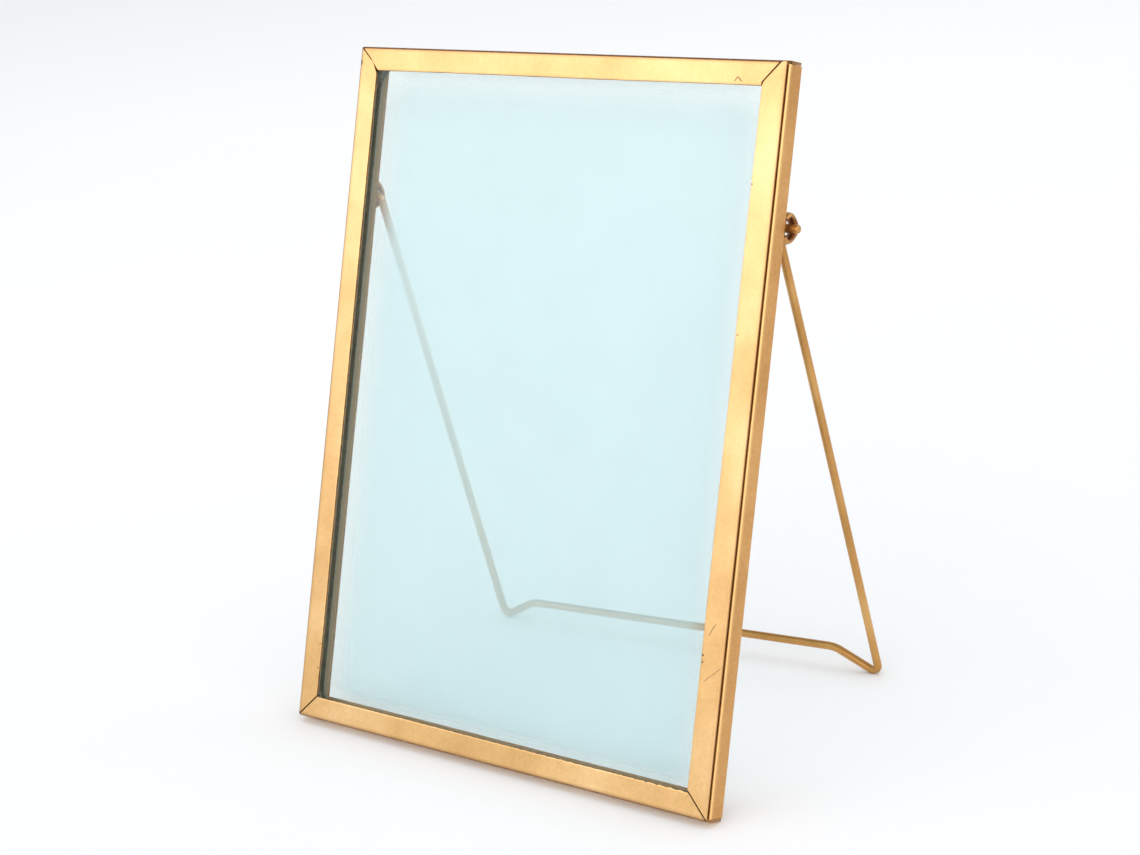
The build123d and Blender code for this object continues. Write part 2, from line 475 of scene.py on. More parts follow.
@dataclass(frozen=True)
class SolderFinish:
    """Solder under paint, darker and lumpier than the sheet."""

    name: str
    light: tuple[float, float, float]
    dark: tuple[float, float, float]
    roughness: float = 0.45
    metallic: float = 0.75

    def build(self, axes: FrameAxes) -> Material:
        """Wire the solder's colour, roughness and lumps."""
        g = Graph(self.name)
        place = g.frame_coordinates(axes)
        grain = g.noise(place, 1700.0, 3.0, 0.6)
        lump = g.noise(place, 420.0, 2.0)
        colour = g.ramp(lump, (0.30, self.dark), (0.70, self.light))
        colour = g.mix(g.step(grain, 0.55, 0.70, 0.0, 0.5), colour, self.dark)
        height = g.math("MULTIPLY_ADD", grain, 0.4, lump)
        bump = g.add("Bump", {"Strength": 0.6, "Distance": 0.08 * MM, "Height": height})
        shader = g.add("BsdfPrincipled", {
            "Base Color": colour,
            "Metallic": self.metallic,
            "Roughness": g.step(lump, 0.3, 0.7, self.roughness - 0.08, self.roughness + 0.1),
            "Normal": bump.outputs["Normal"],
        })
        return g.finish(shader)


@dataclass(frozen=True)
class ClearGlass:
    """Clear float glass as a thin face: it lets light straight through and reflects a little.

    Attributes:
        name: Name of the material.
        share: Share of the light reflected straight on.
        tint: Colour of the light let through.
        roughness: Roughness of the polished face.
    """

    name: str
    share: float = 0.035
    tint: tuple[float, float, float] = (0.965, 0.995, 0.990)
    roughness: float = 0.015

    def build(self, axes: FrameAxes) -> Material:
        """Wire see-through and gloss, alike from both sides of the face, with faint wipe marks.

        The share reflected is share + 0.9 (1 - cos a)^5 at the slant a.
        """
        g = Graph(self.name)
        place = g.frame_coordinates(axes)
        wipe = g.noise(place, 60.0, 3.0, 0.6)
        tint = g.ramp(wipe, (0.3, self.tint), (0.8, tuple(c * 0.992 for c in self.tint)))
        through = g.add("BsdfTransparent", {"Color": tint})
        gloss = g.add("BsdfGlossy", {"Roughness": g.step(wipe, 0.4, 0.8, self.roughness, 0.05)})
        slant = g.add("LayerWeight", {"Blend": 0.5}).outputs["Facing"]
        reflected = g.math("MULTIPLY_ADD", g.math("POWER", slant, 5.0), 0.9, self.share)
        shader = g.add("MixShader", {0: reflected})
        g.tree.links.new(through.outputs[0], shader.inputs[1])
        g.tree.links.new(gloss.outputs[0], shader.inputs[2])
        return g.finish(shader)


@dataclass(frozen=True)
class PaintedReflectionFilm:
    """Pale film on the back of the rear pane, inside the rear opening: a painted reflection of the
    bright room.

    Attributes:
        name: Name of the material.
        high: Colour at the opening's head.
        low: Colour at its foot.
        rim: Colour of the faint painted reflection over the rear lips, which lightens their shade.
        cover_high: Share of the glass that the painted reflection hides at the head.
        cover_low: The same at the foot.
        cover_rim: The same over the rear lips.
        fade: Width over which the painted reflection thins towards the opening's edges.
        thinned: Share of it that is left at those edges.
    """

    name: str
    high: tuple[float, float, float] = (0.66, 0.745, 0.79)
    low: tuple[float, float, float] = (0.535, 0.685, 0.74)
    rim: tuple[float, float, float] = (0.64, 0.52, 0.36)
    cover_high: float = 0.83
    cover_low: float = 0.58
    cover_rim: float = 0.72
    fade: float = 11.0 * MM
    thinned: float = 0.30

    def build(self, axes: FrameAxes) -> Material:
        """Wire a pale film of painted reflection, thicker towards the head, that stops at the
        opening's edges.
        """
        g = Graph(self.name)
        place = g.frame_coordinates(axes)
        split = g.add("SeparateXYZ", {0: place})
        x, y = split.outputs[0], split.outputs[1]
        half = axes.extent("tray_right_stile")[0][0]
        foot = axes.extent("tray_bottom_rail")[1][1]
        head = axes.extent("tray_top_rail")[0][1]
        wide = g.math("ABSOLUTE", x)
        edge = 0.3 * MM
        inside: object = 1.0
        for band, left in ((self.fade, self.thinned), (edge, 0.0)):
            side = g.step(wide, half - band, half, 1.0, left)
            low = g.step(y, foot, foot + 0.4 * band, left, 1.0)
            high = g.step(y, head - band, head, 1.0, left)
            ends = g.math("MULTIPLY", low, high)
            inside = g.math("MULTIPLY", inside, g.math("MULTIPLY", side, ends))
        # Painted reflection over the rear lips, lightening their shade.
        over_lip = g.math("MAXIMUM", g.step(wide, half - edge, half, 0.0, self.cover_rim),
                          g.step(y, foot - edge, foot, self.cover_rim, 0.0))
        smear = g.noise(place, 28.0, 4.0, 0.6)
        climb = g.step(y, foot, 0.8 * head, self.cover_low, self.cover_high)
        density = g.math("ADD", climb, g.step(smear, 0.3, 0.7, -0.015, 0.015))
        tone = g.mix(g.step(y, 0.0, head, 1.0, 0.0), self.high, self.low)
        tone = g.mix(g.math("GREATER_THAN", over_lip, 0.001), tone, self.rim)
        alpha = g.math("MAXIMUM", g.math("MULTIPLY", density, inside), over_lip)
        shader = g.add("BsdfPrincipled", {
            "Base Color": tone,
            "Roughness": g.step(smear, 0.3, 0.7, 0.35, 0.45),
            "Alpha": alpha,
        })
        return g.finish(shader)


@dataclass(frozen=True)
class GroundEdge:
    """Ground edge of a pane: olive and matt, darkened as painted shade, with a pale arris."""

    name: str
    pale: tuple[float, float, float] = (0.115, 0.105, 0.070)
    deep: tuple[float, float, float] = (0.030, 0.030, 0.020)
    arris: tuple[float, float, float] = (0.34, 0.37, 0.30)

    def build(self, axes: FrameAxes) -> Material:
        """Wire a matt olive darkened as painted shade, with grinding marks."""
        g = Graph(self.name)
        place = g.frame_coordinates(axes)
        grind = g.noise(place, MOTTLE, 3.0, 0.65)
        bump = g.add("Bump", {"Strength": 0.4, "Distance": 0.03 * MM, "Height": grind})
        # Olive tones darkened towards black: painted shade on the pane's edge.
        colour = g.ramp(grind, (0.3, self.deep), (0.7, self.pale))
        corner = g.add("Attribute", attribute_name="edge_tone").outputs["Fac"]
        shader = g.add("BsdfPrincipled", {
            "Base Color": g.mix(corner, colour, self.arris),
            "Roughness": g.step(grind, 0.3, 0.7, 0.35, 0.6),
            "Normal": bump.outputs["Normal"],
        })
        return g.finish(shader)


@dataclass
class Finishes:
    """All finishes of the object, built once."""

    axes: FrameAxes
    cover: Material = field(init=False)
    tray: Material = field(init=False)
    wire: Material = field(init=False)
    solder: Material = field(init=False)
    seam: Material = field(init=False)
    cut_edge_shade: Material = field(init=False)
    glass: Material = field(init=False)
    inner_glass: Material = field(init=False)
    painted_reflection: Material = field(init=False)
    edge: Material = field(init=False)

    def __post_init__(self) -> None:
        """Build every material."""
        chips = (
            Chip(-74.9, 195.4, 1.1), Chip(-74.9, 197.2, 0.7), Chip(68.65, 43.5, 0.42),
            Chip(68.8, 41.7, 0.32), Chip(68.9, 128.2, 0.28), Chip(68.5, 167.6, 0.30),
            Chip(-68.75, 22.6, 0.28), Chip(-68.7, 15.3, 0.28), Chip(-74.5, 0.7, 0.65),
            Chip(-68.7, 46.0, 0.18), Chip(-26.0, 0.3, 0.35), Chip(30.0, 0.3, 0.3),
            Chip(52.0, 0.2, 0.28), Chip(-20.0, 199.6, 0.2),
        )
        scratches = (
            Scratch(70.8, 50.6, 4.4, 62.0, 0.16, -0.05),
            Scratch(72.2, 38.7, 7.6, 41.0, 0.12),
            Scratch(60.0, 194.7, 1.9, 52.0, 0.22),
            Scratch(61.2, 194.7, 1.9, -42.0, 0.22),
        )
        self.cover = GoldPaint(
            "satin_gold_cover", (0.80, 0.485, 0.195), (0.64, 0.36, 0.120), (0.92, 0.62, 0.30),
            speckle=0.24, pits=0.06, peel=0.018, chips=chips, scratches=scratches,
        ).build(self.axes)
        # The tray's gold is a darker copy of the cover's: painted shade on its walls.
        self.tray = GoldPaint(
            "satin_gold_tray_painted_shade", (0.62, 0.315, 0.092), (0.50, 0.235, 0.062), (0.72, 0.41, 0.145),
            roughness=0.36, coat=0.2,
        ).build(self.axes)
        self.wire = GoldPaint(
            "satin_gold_wire", (0.56, 0.285, 0.080), (0.46, 0.215, 0.052), (0.70, 0.41, 0.145),
            roughness=0.28, coat=0.25, coat_roughness=0.15, speckle=0.12, pits=0.05, peel=0.008,
        ).build(self.axes)
        self.solder = SolderFinish(
            "painted_solder", (0.62, 0.36, 0.14), (0.30, 0.15, 0.05)
        ).build(self.axes)
        self.seam = SolderFinish(
            "dark_seam_solder", (0.10, 0.060, 0.030), (0.035, 0.022, 0.012), 0.6, 0.3
        ).build(self.axes)
        # Darker paint on cut ends and the lips' free edges: painted shade there.
        self.cut_edge_shade = SolderFinish(
            "cut_edge_painted_shade", (0.42, 0.22, 0.075), (0.15, 0.075, 0.026), 0.55, 0.5
        ).build(self.axes)
        self.glass = ClearGlass("clear_float_glass").build(self.axes)
        self.inner_glass = ClearGlass("clear_inner_face", share=0.004).build(self.axes)
        # Pale film on the rear pane: painted reflection of the bright room.
        self.painted_reflection = PaintedReflectionFilm("painted_reflection_film").build(self.axes)
        self.edge = GroundEdge("ground_glass_edge").build(self.axes)


# ---------------------------------------------------------------- folded rails
@dataclass(frozen=True)
class FoldSection:
    """Section of a folded rail: d inwards from the wall's outer face, t back from the lip's face.

    Attributes:
        lip: Width of the lip, from the wall's outer face to its free edge.
        wall: Height of the wall, from the lip's outer face to its free edge.
        sheet: Thickness of the sheet.
        fold: Outside radius of the fold.
        lip_edge: Rounding of the lip's free edge.
        wall_edge: Rounding of the wall's free edge.
        crook: Inside radius of the fold.
        painted_highlight_band: Band at the wall's free edge that has closer points, for the painted
            highlight.
        folded: Band at the fold, for the painted shade.
    """

    lip: float
    wall: float
    sheet: float = 0.8 * MM
    fold: float = 0.7 * MM
    lip_edge: float = 0.14 * MM
    wall_edge: float = 0.12 * MM
    crook: float = 0.12 * MM
    painted_highlight_band: float = 1.3 * MM
    folded: float = 0.95 * MM

    def pairs(self) -> tuple[np.ndarray, np.ndarray]:
        """Outer and inner faces as paired points (n, 2) of (d, t).

        A free edge is a quarter circle on each face: for an angle a from 0 to 90 degrees its
        points are e (1 - sin a) in from the face and e (1 - cos a) back from the edge. The
        fold is a quarter circle of the fold's radius outside and of the crook's inside.

        Returns:
            The outer points and the inner ones, from the wall's free edge to the lip's.
        """
        a = np.linspace(0, pi / 2, 5)
        near_edge = self.wall - np.linspace(self.wall_edge, self.painted_highlight_band, 6)[1:]
        tall = self.wall > 2 * self.painted_highlight_band
        rest = np.linspace(self.wall - self.painted_highlight_band, self.folded, 7)[1:] if tall else []
        t_wall = np.concatenate([near_edge, rest])
        wall_in = self.wall_edge * (1 - np.sin(a))
        wall_back = self.wall - self.wall_edge * (1 - np.cos(a))
        turn = np.linspace(0, pi / 2, 9)
        corner = self.sheet + self.crook
        d_lip = np.linspace(corner, self.lip - self.lip_edge, 14)[1:-1]
        lip_in = self.lip_edge * (1 - np.sin(a[::-1]))
        lip_back = self.lip - self.lip_edge * (1 - np.cos(a[::-1]))
        faces = []
        for depth, radius, side in ((0.0, self.fold, 1), (self.sheet, self.crook, -1)):
            centre = depth + radius
            d = (depth + side * wall_in, 0 * t_wall + depth, centre - radius * np.cos(turn), d_lip,
                 lip_back)
            t = (wall_back, t_wall, centre - radius * np.sin(turn), 0 * d_lip + depth,
                 depth + side * lip_in)
            faces.append(np.stack([np.concatenate(d), np.concatenate(t)], -1))
        outer, inner = faces
        return outer, inner


@dataclass(frozen=True)
class Seam:
    """End of a rail: how far it stands from the corner, against d, as straight cuts.

    Attributes:
        d: Places across the rail, in mm.
        stand: Distance of the end from the corner at each place, in mm.
        tongue: How far the wall carries on past the corner, in mm; none if 0.
        tongue_round: Radius of the tongue's rear corner, in mm.
    """

    d: tuple[float, ...]
    stand: tuple[float, ...]
    tongue: float = 0.0
    tongue_round: float = 1.3

    def offset(self, loop: np.ndarray, carried: np.ndarray, wall: float) -> np.ndarray:
        """Distance of the end from the corner.

        Args:
            loop: Section points (n, 2) of (d, t), in metres.
            carried: Which of them belong to a tongue, where there is one.
            wall: Height of the wall.

        Returns:
            The distance at each point, in metres.
        """
        plain = np.interp(loop[:, 0], np.array(self.d) * MM, np.array(self.stand) * MM)
        if not self.tongue:
            return plain
        radius = self.tongue_round * MM
        past = np.clip(loop[:, 1] - (wall - radius), 0, radius)
        rounded = radius - self.tongue * MM - np.sqrt(radius**2 - past**2)
        return np.where(carried, rounded, plain)


@dataclass
class FoldedRail:
    """One rail of folded sheet with a lip, a wall and cut ends.

    Attributes:
        name: Name of the piece.
        node: CAD node that it stands for.
        side: Side of the border that it makes.
        section: Its folded section.
        outline: Left, right, foot and head of the border's outside, in frame coordinates.
        lip_face: Depth of the lip's outer face.
        facing: 1 if the lip faces forwards, -1 if it faces back.
        start: Cut at the left or lower end.
        end: Cut at the right or upper end.
        jagged: Height of the ragged waves along the lip's free edge.
        phase: Shift of the hand-made waves.
        painted_fold_shade: Strength of the painted shade along the fold.
        painted_edge_highlight: Strength of the painted highlight along the wall's free edge.
        step: Distance between two rings.
        nick: Length of the small chamfer at a cut end.
        chamfer: Its depth, as a share of the way to the middle of the sheet.
    """

    name: str
    node: str
    side: Side
    section: FoldSection
    outline: tuple[float, float, float, float]
    lip_face: float
    facing: int
    start: Seam
    end: Seam
    jagged: float = 0.0
    phase: float = 0.0
    painted_fold_shade: float = 0.0
    painted_edge_highlight: float = 0.0
    step: float = 1.0 * MM
    nick: float = 0.07 * MM
    chamfer: float = 0.16

    def surface(
        self, axes: FrameAxes
    ) -> tuple[np.ndarray, list[list[int]], np.ndarray, np.ndarray]:
        """Carry the section along the side between its two cuts.

        Every section point runs straight from its own start to its own end, which gives the
        mitres and the tongues. The first and last rings are drawn in a little towards the
        middle of the sheet, so that cut ends have a small chamfer. Hand work is a few long,
        low waves in the lip's face, in its free edge and in the wall.

        Args:
            axes: The picture frame's axes.

        Returns:
            Vertices in the row's coordinates, faces, the slot of each face (1 on cut edges)
            and the share of painted shade at each vertex, which is full near the fold's corner
            and none 0.85 mm away from it. On a wall with a painted highlight the share is
            negative, and is most at its free edge.
        """
        outer, inner = self.section.pairs()
        count = len(outer)
        loop = np.concatenate([outer, inner[::-1]])
        middle = np.concatenate([(outer + inner) / 2, ((outer + inner) / 2)[::-1]])
        left, right, foot, head = self.outline
        length = right - left if self.side in (Side.TOP, Side.BOTTOM) else head - foot
        sheet, wall = self.section.sheet, self.section.wall
        on_tongue = outer[:, 1] > 0.5 * MM
        carried = np.concatenate([on_tongue, on_tongue[::-1]])
        low = self.start.offset(loop, carried, wall)
        high = length - self.end.offset(loop, carried, wall)
        share = np.linspace(0, 1, int(length / self.step))[:, None]
        run = (low + self.nick) * (1 - share) + (high - self.nick) * share
        run = np.concatenate([low[None], run, high[None]])
        plane = np.repeat(loop[None], len(run), 0)
        plane[[0, -1]] += (middle - loop) * self.chamfer
        d, t = plane[..., 0], plane[..., 1]
        on_lip = np.clip((d - sheet) / (self.section.lip - sheet), 0, 1)
        on_wall = np.clip((t - sheet) / max(self.section.wall - sheet, MM), 0, 1)
        waves = (0.020 * MM, 61 * MM, self.phase), (0.012 * MM, 23 * MM, 2.1 * self.phase)
        dt = on_lip * swell(run, *waves)
        bends = (0.035 * MM, 83 * MM, self.phase + 1.0), (0.015 * MM, 19 * MM, 0.4)
        dd = on_lip * swell(run, *bends)
        dd = dd + on_wall * np.abs(swell(run, (0.03 * MM, 90 * MM, self.phase + 2.0)))
        if self.jagged:
            growth = 0.25 + 0.75 * (run / length) ** 2
            teeth = swell(
                run, (0.40, 1.9 * MM, 0.0), (0.35, 1.27 * MM, 1.0), (0.25, 3.1 * MM, 2.0)
            )
            dd = dd - on_lip**12 * self.jagged * growth * (0.5 + teeth)
        d, t = d + dd, t + dt
        z = self.lip_face - self.facing * t
        if self.side in (Side.TOP, Side.BOTTOM):
            y = head - d if self.side is Side.TOP else foot + d
            own = np.stack([left + run, y, z], -1)
        else:
            x = left + d if self.side is Side.LEFT else right - d
            own = np.stack([x, foot + run, z], -1)
        around, rings = 2 * count, len(run)
        faces = ring_faces(rings, around)
        i = np.arange(count - 1)
        cap = np.stack([i, i + 1, around - 2 - i, around - 1 - i], -1)
        last = (rings - 1) * around
        place = np.tile(np.arange(around), rings - 1)
        # Faces at the lip's free edge and at the cut ends take the darker edge paint, which is
        # painted shade.
        cut = np.concatenate([np.abs(place - (count - 1)) < 3, np.ones(2 * len(cap), bool)])
        faces = np.concatenate([faces, cap[:, ::-1], cap + last])
        # Painted shade along the fold and a painted highlight along the wall's free edge, kept as
        # edge_tone.
        corner = np.hypot(plane[..., 0], plane[..., 1])
        tone = self.painted_fold_shade * np.clip(2.1 - corner / (0.40 * MM), 0, 1)
        painted_highlight_band = np.clip(1 - (wall - plane[..., 1]) / (1.1 * MM), 0, 1) ** 1.5
        tone = tone - self.painted_edge_highlight * painted_highlight_band * (plane[..., 0] < 0.5 * sheet)
        return axes.to_row(own.reshape(-1, 3)), faces.tolist(), cut, tone.ravel()

    def build(
        self, axes: FrameAxes, body: Body, slot: Slot, paint: Material,
        cut_edge_shade: Material,
    ) -> None:
        """Make the rail's piece, painted, with painted shade on its cut edges."""
        points, faces, cut, tone = self.surface(axes)
        make_piece(self.name, points, faces, body, (self.node,), [paint, cut_edge_shade], cut, tone)


@dataclass
class FrontCover:
    """Front cover: four rails whose mitres are cut by hand, and solder in the seams.

    Each corner's seam is given for the rail and the stile that meet there, as distances from
    the corner. At the top left the rails part towards the picture; at the top right the seam
    meets the top edge a little left of the corner.
    """

    axes: FrameAxes
    finishes: Finishes
    top_left_rail: Seam = Seam((0.0, 3.9, 4.1, 5.0, 6.8), (0.45, 4.75, 4.8, 5.6, 7.35))
    top_left_stile: Seam = Seam((0.0, 4.3, 4.7, 5.3, 6.8), (0.12, 3.85, 4.05, 4.85, 7.6))
    top_right_rail: Seam = Seam((0.0, 0.3, 5.9, 6.8), (1.45, 1.75, 7.0, 6.95), tongue=1.35)
    top_right_stile: Seam = Seam((0.0, 1.0, 1.3, 6.6, 6.8), (0.22, 0.22, 0.30, 5.75, 6.6))
    bottom_right_rail: Seam = Seam((0.0, 0.6, 7.1), (0.30, 0.42, 6.90), tongue=1.35)
    bottom_right_stile: Seam = Seam((0.0, 6.8), (0.56, 7.29))
    bottom_left_rail: Seam = Seam((0.0, 6.8), (0.30, 7.08))
    bottom_left_stile: Seam = Seam((0.0, 6.8), (0.30, 7.08))
    right_fold: float = 0.5 * MM
    right_reach: float = 0.2 * MM

    def build(self) -> None:
        """Make the four rails and dress the seam solder."""
        lo_left, hi_left = self.axes.extent("cover_left_stile")
        lo_right, hi_right = self.axes.extent("cover_right_stile")
        lo_foot, _ = self.axes.extent("cover_bottom_rail")
        _, hi_head = self.axes.extent("cover_top_rail")
        outline = (lo_left[0], hi_right[0], lo_foot[1], hi_head[1])
        face = hi_left[2]
        lip = hi_left[0] - lo_left[0]
        full = FoldSection(lip, face)
        reach = self.right_reach
        short = FoldSection(lip + reach, face - lo_right[2], fold=self.right_fold)
        shown = (outline[0], outline[1] + reach, outline[2], outline[3])
        rails = (
            # The second last number of each row is the strength of the painted shade along that
            # rail's fold.
            (Side.TOP, full, self.top_left_rail, self.top_right_rail, 0.0, 1.0, "rail"),
            (Side.RIGHT, short, self.bottom_right_stile, self.top_right_stile, 0.0, 0.15, "stile"),
            (Side.BOTTOM, full, self.bottom_left_rail, self.bottom_right_rail, 0.30, 1.0, "rail"),
            (Side.LEFT, full, self.bottom_left_stile, self.top_left_stile, 0.0, 0.7, "stile"),
        )
        for number, (side, section, start, end, jagged, tone, kind) in enumerate(rails):
            node = f"cover_{side.value}_{kind}"
            around = shown if side is Side.RIGHT else outline
            FoldedRail(
                f"folded_{node}", node, side, section, around, face, 1, start, end,
                jagged * MM, 1.7 * number, tone,
            ).build(self.axes, Body.COVER, Slot.COVER, self.finishes.cover, self.finishes.cut_edge_shade)
        dress("cover_corner_solder", self.finishes.seam)


@dataclass
class RearTray:
    """Rear tray: four rails folded forwards, one wall of which shows at the right."""

    axes: FrameAxes
    finishes: Finishes
    edge_round: float = 0.3 * MM

    def build(self) -> None:
        """Make the four rails and dress the corner solder."""
        lo_left, hi_left = self.axes.extent("tray_left_stile")
        lo_right, hi_right = self.axes.extent("tray_right_stile")
        lo_foot, hi_foot = self.axes.extent("tray_bottom_rail")
        _, hi_head = self.axes.extent("tray_top_rail")
        outline = (lo_left[0], hi_right[0], lo_foot[1], hi_head[1])
        narrow, wide = hi_left[0] - lo_left[0], hi_right[0] - lo_right[0]
        upright = hi_foot[1] - lo_foot[1]
        low, high = (FoldSection(narrow, hi_left[2]), FoldSection(upright, hi_head[2]))
        shown = FoldSection(wide, hi_right[2], wall_edge=self.edge_round)
        slope = wide / upright
        plain = Seam((0.0, 10.0), (0.12, 10.12))
        rail_end = Seam((0.0, 0.82, 0.95, 10.0), (0.9, 0.9, 0.95 * slope + 0.15, 10 * slope + 0.15))
        stile_end = Seam((0.0, 0.82, 0.95, 10.0), (-0.22, -0.22, 0.95 / slope, 10 / slope + 0.12))
        rails = (
            (Side.TOP, high, plain, rail_end, "rail"),
            (Side.RIGHT, shown, stile_end, stile_end, "stile"),
            (Side.BOTTOM, high, plain, rail_end, "rail"),
            (Side.LEFT, low, plain, plain, "stile"),
        )
        for number, (side, section, start, end, kind) in enumerate(rails):
            node = f"tray_{side.value}_{kind}"
            # Only the right wall gets a painted highlight along its free edge.
            FoldedRail(
                f"folded_{node}", node, side, section, outline, 0.0, -1, start, end,
                phase=0.9 + 1.3 * number, painted_edge_highlight=0.75 if side is Side.RIGHT else 0.0,
            ).build(self.axes, Body.TRAY, Slot.TRAY, self.finishes.tray, self.finishes.cut_edge_shade)
        dress("tray_corner_solder", self.finishes.solder)


def dress(node: str, material: Material) -> None:
    """Give a carried-over CAD node a finish in each of its slots."""
    piece = frame["nodes"][node]
    if not piece.material_slots:
        piece.data.materials.append(material)
    for slot in piece.material_slots:
        slot.material = material
    log.info("%s: CAD shape kept, finish %s", node, material.name)


# ---------------------------------------------------------------- glass
@dataclass
class GlassPane:
    """A pane with round corners and ground edges.

    Attributes:
        name: Name of the piece.
        node: CAD node that it stands for.
        corner: Radius of its corners.
        arris: Width of the ground bevel.
    """

    name: str
    node: str
    corner: float = 8.0 * MM
    arris: float = 0.2 * MM

    def outline(self, low: np.ndarray, high: np.ndarray, inset: float) -> np.ndarray:
        """Rectangle with a quarter circle at each corner, drawn in by inset, as (n, 2)."""
        radius = self.corner - inset
        left, right = low[0] + self.corner, high[0] - self.corner
        foot, head = low[1] + self.corner, high[1] - self.corner
        centre_x = np.array([right, left, left, right])
        centre_y = np.array([head, head, foot, foot])
        turn = np.arange(4)[:, None] * pi / 2 + np.linspace(0, pi / 2, 17)[None, :]
        x = centre_x[:, None] + radius * np.cos(turn)
        y = centre_y[:, None] + radius * np.sin(turn)
        return np.stack([x.ravel(), y.ravel()], -1)

    def build(
        self, axes: FrameAxes, front: Material, back: Material,
        edge: Material,
    ) -> None:
        """Stack four outlines into a pane: two faces, a ground edge and two bevels."""
        low, high = axes.extent(self.node)
        levels = (
            (low[2], self.arris), (low[2] + self.arris, 0.0),
            (high[2] - self.arris, 0.0), (high[2], self.arris),
        )
        rings = []
        for depth, inset in levels:
            flat = self.outline(low, high, inset)
            rings.append(np.column_stack([flat, np.full(len(flat), depth)]))
        around = len(rings[0])
        sides = ring_faces(4, around)
        faces = sides.tolist() + end_caps(4, around)
        index = np.concatenate([np.full(len(sides), 2), [1, 0]])
        tone = np.repeat([1.0, 0.0, 0.0, 1.0], around)
        piece = make_piece(
            self.name, axes.to_row(np.concatenate(rings)), faces, Body.TRAY,
            (self.node,), [front, back, edge], index, tone, sharp=20.0,
        )
        piece.visible_shadow = False


# ---------------------------------------------------------------- wire
def bent_path(corners: np.ndarray, radii: list[float], step: float) -> tuple[np.ndarray, ...]:
    """Centre line of a wire bent round arcs, with a frame that doesn't twist.

    A corner that turns by b with radius r has its arc start r tan(b / 2) before it. The frame
    stays as it is along a straight and turns with the arc about the arc's axis.

    Args:
        corners: Points (n, 3) of the route.
        radii: Radius at each inner corner.
        step: Largest distance between two sections on a straight.

    Returns:
        Centres, tangents and two cross vectors, each (m, 3).
    """
    runs = np.diff(corners, axis=0)
    lengths = np.linalg.norm(runs, axis=1)
    ways = runs / lengths[:, None]
    turns = np.arccos(np.clip((ways[:-1] * ways[1:]).sum(1), -1, 1))
    cuts = np.concatenate([[0.0], np.array(radii) * np.tan(turns / 2), [0.0]])
    side = np.cross(ways[0], [0.0, 0.0, 1.0])
    side /= np.linalg.norm(side)
    parts: list[tuple[np.ndarray, np.ndarray, np.ndarray]] = []
    for i, way in enumerate(ways):
        low, high = cuts[i], lengths[i] - cuts[i + 1]
        count = max(2, int((high - low) / step) + 2)
        along = np.linspace(low, high, count)[:-1 if i < len(ways) - 1 else None]
        centres = corners[i] + way * along[:, None]
        ahead, beside = (np.repeat(vector[None], len(along), 0) for vector in (way, side))
        parts.append((centres, ahead, beside))
        if i == len(ways) - 1:
            break
        axis = np.cross(way, ways[i + 1])
        axis /= np.linalg.norm(axis)
        towards = np.cross(axis, way)
        count = max(5, int(np.degrees(turns[i]) / 6))
        angle = np.linspace(0, turns[i], count)[:-1, None]
        start = corners[i + 1] - way * cuts[i + 1]
        centre = start + towards * radii[i]
        centres = centre + radii[i] * (np.sin(angle) * way - np.cos(angle) * towards)
        tangents = np.cos(angle) * way + np.sin(angle) * towards
        level = side @ axis * axis
        flat = side - level
        across = np.cross(axis, flat)
        parts.append((centres, tangents, level + flat * np.cos(angle) + across * np.sin(angle)))
        side = level + flat * cos(turns[i]) + across * sin(turns[i])
    centres, tangents, sides = (np.concatenate([p[k] for p in parts]) for k in range(3))
    return centres, tangents, sides, np.cross(tangents, sides)


def wire_surface(
    centres: np.ndarray, tangents: np.ndarray, sides: np.ndarray, other: np.ndarray,
    radius: float, end_round: float, around: int = 28,
) -> tuple[np.ndarray, list[list[int]]]:
    """Carry a circle along a centre line and round its two ends.

    A rounded end has four more rings: for an angle a from 0 to 90 degrees the ring stands
    e sin a past the last full one, and is smaller by e (1 - cos a).

    Args:
        centres: Centre line (m, 3).
        tangents: Directions along it.
        sides: First cross vectors.
        other: Second cross vectors.
        radius: Radius of the wire.
        end_round: Rounding of the ends, e.
        around: Points round the wire.

    Returns:
        Vertices and faces.
    """
    a = np.linspace(0, pi / 2, 5)[1:]
    reach, shrink = end_round * np.sin(a), end_round * (1 - np.cos(a))
    centres = centres.copy()
    centres[0] += tangents[0] * end_round
    centres[-1] -= tangents[-1] * end_round
    head = centres[0] - tangents[0] * reach[::-1, None]
    tail = centres[-1] + tangents[-1] * reach[:, None]
    middle = np.concatenate([head, centres, tail])
    size = np.concatenate([radius - shrink[::-1], np.full(len(centres), radius), radius - shrink])
    grow = [np.repeat(v[[0]], 4, 0) for v in (sides, other)]
    shut = [np.repeat(v[[-1]], 4, 0) for v in (sides, other)]
    u = np.concatenate([grow[0], sides, shut[0]])
    v = np.concatenate([grow[1], other, shut[1]])
    turn = np.arange(around) * 2 * pi / around
    circle = np.cos(turn)[None, :, None] * u[:, None] + np.sin(turn)[None, :, None] * v[:, None]
    points = middle[:, None] + circle * size[:, None, None]
    rings = len(middle)
    faces = ring_faces(rings, around).tolist()
    return points.reshape(-1, 3), faces + end_caps(rings, around)


